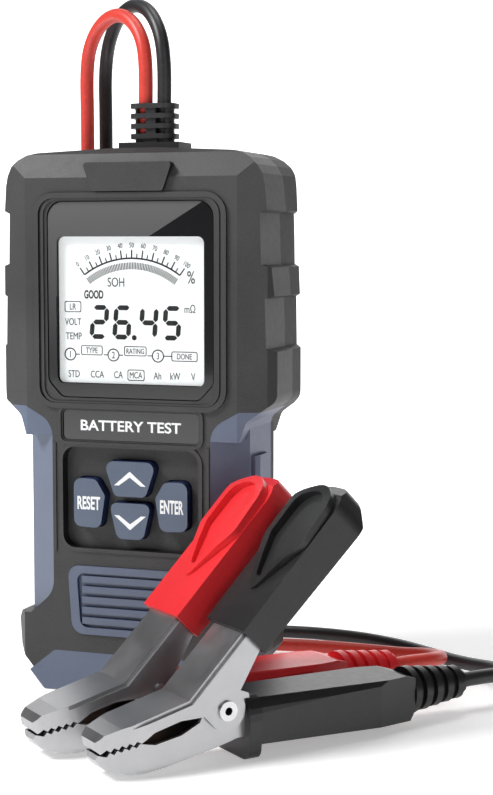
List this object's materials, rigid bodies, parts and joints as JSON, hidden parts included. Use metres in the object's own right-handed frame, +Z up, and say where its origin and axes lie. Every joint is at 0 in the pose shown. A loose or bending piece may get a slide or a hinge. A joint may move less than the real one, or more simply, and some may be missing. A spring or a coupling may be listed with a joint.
{
  "type": "battery tester",
  "caption": "Hand-held battery tester with a display window, four keys, rubber side grips, and two test leads ending in spring clamps.",
  "frame": {"origin": "centre of the tester's base, on the floor", "axes": "+Z up the case, -Y out of the display, +X to the right of a person facing the display"},
  "size_m": [0.1566, 0.1697, 0.2165],
  "materials": {
    "charcoal_abs": "fine moulded grain",
    "black_abs": "fine moulded grain",
    "blue_rubber": "satin over-moulded rubber",
    "slate_rubber": "satin",
    "window": "gloss, black printed border",
    "gloss_strip": "gloss",
    "lcd_glass": "white display",
    "aluminium_tray": "plain",
    "board": "solder mask",
    "black_plastic": "plain",
    "ceramic_block": "plain",
    "can": "plain",
    "plunger_plastic": "plain",
    "screw_steel": "zinc plated",
    "black_rubber": "satin",
    "brass_lug": "tinned",
    "red_jacket": "satin",
    "black_jacket": "satin",
    "chromed_steel": "bright nickel plating",
    "rivet_steel": "bright",
    "spring_steel": "dark oiled",
    "copper_strip": "bare copper alloy",
    "red_vinyl": "satin vinyl",
    "black_vinyl": "satin vinyl"
  },
  "bodies": {
    "tester": {"front_shell": "charcoal_abs", "rear_shell": "black_abs", "left_grip": "blue_rubber", "right_grip": "blue_rubber", "bottom_bumper": "blue_rubber", "rib_panel": "blue_rubber", "brow_tab": "charcoal_abs", "screen_lens": "window", "lens_gasket": "black_rubber", "lcd_module": "lcd_glass", "lcd_frame": "aluminium_tray", "name_strip": "gloss_strip", "switch_bodies": "black_plastic", "main_board": "board", "board_chips": "black_plastic", "load_resistor": "ceramic_block", "capacitors": "can", "buzzer": "black_plastic", "fuse_block": "black_plastic", "board_screws": "screw_steel", "case_screws": "screw_steel", "cable_sleeve": "black_rubber", "cable_clamp": "black_plastic", "solder_lugs": "brass_lug", "foot_pads": "black_rubber", "red_lead": "red_jacket", "black_lead": "black_jacket", "red_lower_jaw": "chromed_steel", "red_rivet": "rivet_steel", "red_spring_coil": "spring_steel", "red_lower_contact": "copper_strip", "red_contact_screw": "spring_steel", "red_lower_sleeve": "red_vinyl", "black_lower_jaw": "chromed_steel", "black_rivet": "rivet_steel", "black_spring_coil": "spring_steel", "black_lower_contact": "copper_strip", "black_contact_screw": "spring_steel", "black_lower_sleeve": "black_vinyl"},
    "up_button": {"up_key": "slate_rubber", "up_plunger": "plunger_plastic"},
    "down_button": {"down_key": "slate_rubber", "down_plunger": "plunger_plastic"},
    "reset_button": {"reset_key": "slate_rubber", "reset_plunger": "plunger_plastic"},
    "enter_button": {"enter_key": "slate_rubber", "enter_plunger": "plunger_plastic"},
    "red_moving_jaw": {"red_upper_jaw": "chromed_steel", "red_spring_leg": "spring_steel", "red_upper_contact": "copper_strip", "red_upper_sleeve": "red_vinyl"},
    "black_moving_jaw": {"black_upper_jaw": "chromed_steel", "black_spring_leg": "spring_steel", "black_upper_contact": "copper_strip", "black_upper_sleeve": "black_vinyl"}
  },
  "joints": [
    {"name": "up_press", "type": "slide", "parent": "tester", "child": "up_button", "axis": [0, 1, 0], "range_m": [0, 0.0008], "stiffness_N_per_m": 150, "springref_m": -0.001},
    {"name": "down_press", "type": "slide", "parent": "tester", "child": "down_button", "axis": [0, 1, 0], "range_m": [0, 0.0008], "stiffness_N_per_m": 150, "springref_m": -0.001},
    {"name": "reset_press", "type": "slide", "parent": "tester", "child": "reset_button", "axis": [0, 1, 0], "range_m": [0, 0.0008], "stiffness_N_per_m": 150, "springref_m": -0.001},
    {"name": "enter_press", "type": "slide", "parent": "tester", "child": "enter_button", "axis": [0, 1, 0], "range_m": [0, 0.0008], "stiffness_N_per_m": 150, "springref_m": -0.001},
    {"name": "red_jaw_hinge", "type": "hinge", "parent": "tester", "child": "red_moving_jaw", "pos_m": [0.021, -0.056, 0.0148], "axis": [-0.766, 0.6428, 0], "range_deg": [0, 22], "stiffness_Nm_per_rad": 0.5, "springref_deg": -34.38},
    {"name": "black_jaw_hinge", "type": "hinge", "parent": "tester", "child": "black_moving_jaw", "pos_m": [0.0445, -0.0675, 0.0148], "axis": [-0.766, 0.6428, 0], "range_deg": [0, 22], "stiffness_Nm_per_rad": 0.5, "springref_deg": -34.38}
  ]
}
